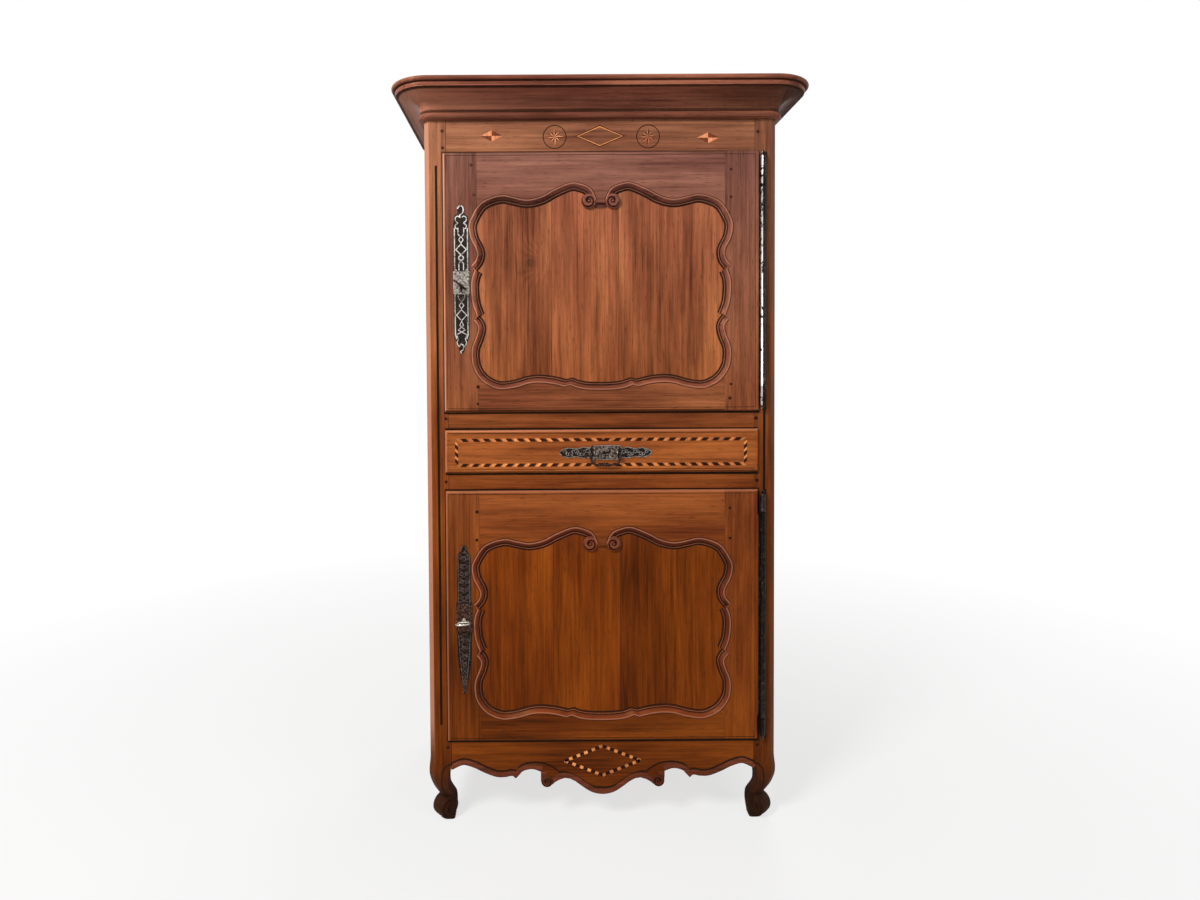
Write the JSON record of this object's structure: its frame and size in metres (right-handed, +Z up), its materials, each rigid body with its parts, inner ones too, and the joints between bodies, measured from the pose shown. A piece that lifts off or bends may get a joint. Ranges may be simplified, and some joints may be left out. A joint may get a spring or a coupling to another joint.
{
  "type": "bonnetiere cabinet",
  "caption": "Tall narrow linen cabinet with a panelled door above and below a drawer, curved cornice, shaped apron and cabriole front legs.",
  "frame": {"origin": "on the floor, under the middle of the bounding box", "axes": "+Z up, the front faces -Y, +X to the right of someone facing the front"},
  "size_m": [1.16, 0.65, 2.071],
  "materials": {
    "frame_wood": "waxed cherry, red-brown, satin",
    "panel_wood": "waxed cherry boards, orange-brown, satin",
    "interior_wood": "bare pale wood, dull",
    "dark_iron": "dark forged iron, half worn",
    "bright_iron": "polished iron with dark hollows"
  },
  "bodies": {
    "carcass": {"front_stile_left": "frame_wood", "front_stile_right": "frame_wood", "back_stile_left": "frame_wood", "back_stile_right": "frame_wood", "frieze_rail": "frame_wood", "rail_above_drawer": "frame_wood", "rail_below_drawer": "frame_wood", "apron_rail": "frame_wood", "side_top_rail_left": "frame_wood", "side_top_rail_right": "frame_wood", "side_bottom_rail_left": "frame_wood", "side_bottom_rail_right": "frame_wood", "side_panel_left": "panel_wood", "side_panel_right": "panel_wood", "back_top_rail": "interior_wood", "back_bottom_rail": "interior_wood", "back_panel": "interior_wood", "cornice_front": "frame_wood", "cornice_side_left": "frame_wood", "cornice_side_right": "frame_wood", "top_board": "interior_wood", "upper_shelf": "interior_wood", "upper_floor": "interior_wood", "bottom_board": "interior_wood", "drawer_runner_left": "interior_wood", "drawer_runner_right": "interior_wood", "upper_hinge_top_knuckle": "bright_iron", "upper_hinge_bottom_knuckle": "bright_iron", "upper_hinge_pin": "dark_iron", "lower_hinge_top_knuckle": "dark_iron", "lower_hinge_bottom_knuckle": "dark_iron", "lower_hinge_pin": "dark_iron"},
    "upper_door": {"upper_door_hinge_stile": "frame_wood", "upper_door_lock_stile": "frame_wood", "upper_door_top_rail": "frame_wood", "upper_door_bottom_rail": "frame_wood", "upper_door_panel": "panel_wood", "upper_hinge_barrel": "bright_iron", "upper_door_escutcheon": "bright_iron", "upper_lock_case": "dark_iron"},
    "lower_door": {"lower_door_hinge_stile": "frame_wood", "lower_door_lock_stile": "frame_wood", "lower_door_top_rail": "frame_wood", "lower_door_bottom_rail": "frame_wood", "lower_door_panel": "panel_wood", "lower_hinge_barrel": "dark_iron", "lower_door_escutcheon": "dark_iron", "lower_lock_case": "dark_iron"},
    "drawer": {"drawer_front": "frame_wood", "drawer_side_left": "interior_wood", "drawer_side_right": "interior_wood", "drawer_bottom": "interior_wood", "drawer_back": "interior_wood", "drawer_escutcheon": "dark_iron", "drawer_lock_case": "dark_iron"},
    "drop_handle": {"drawer_bail": "dark_iron"},
    "upper_door_key": {"upper_key": "bright_iron"},
    "upper_door_bolt": {"upper_lock_bolt": "dark_iron"},
    "lower_door_key": {"lower_key": "bright_iron"},
    "lower_door_bolt": {"lower_lock_bolt": "dark_iron"}
  },
  "joints": [
    {"name": "upper_door_hinge", "type": "hinge", "parent": "carcass", "child": "upper_door", "pos_m": [0.449, -0.248, 1.53], "axis": [0, 0, 1], "range_deg": [0, 165]},
    {"name": "lower_door_hinge", "type": "hinge", "parent": "carcass", "child": "lower_door", "pos_m": [0.449, -0.248, 0.596], "axis": [0, 0, 1], "range_deg": [0, 165]},
    {"name": "drawer_slide", "type": "slide", "parent": "carcass", "child": "drawer", "axis": [0, -1, 0], "range_m": [0, 0.35]},
    {"name": "drop_handle_swing", "type": "hinge", "parent": "drawer", "child": "drop_handle", "pos_m": [0.01, -0.2573, 1.056], "axis": [-1, 0, 0], "range_deg": [0, 100]},
    {"name": "upper_key_turn", "type": "hinge", "parent": "upper_door", "child": "upper_door_key", "pos_m": [-0.387, -0.247, 1.52], "axis": [0, -1, 0], "range_deg": [0, 180]},
    {"name": "upper_bolt_slide", "type": "slide", "parent": "upper_door", "child": "upper_door_bolt", "axis": [-1, 0, 0], "range_m": [0, 0.014]},
    {"name": "lower_key_turn", "type": "hinge", "parent": "lower_door", "child": "lower_door_key", "pos_m": [-0.387, -0.247, 0.59], "axis": [0, -1, 0], "range_deg": [0, 180]},
    {"name": "lower_bolt_slide", "type": "slide", "parent": "lower_door", "child": "lower_door_bolt", "axis": [-1, 0, 0], "range_m": [0, 0.014]}
  ],
  "couplings": [
    {"joint": "upper_bolt_slide", "follows": "upper_key_turn", "m_per_rad": 0.00445},
    {"joint": "lower_bolt_slide", "follows": "lower_key_turn", "m_per_rad": 0.00445}
  ]
}
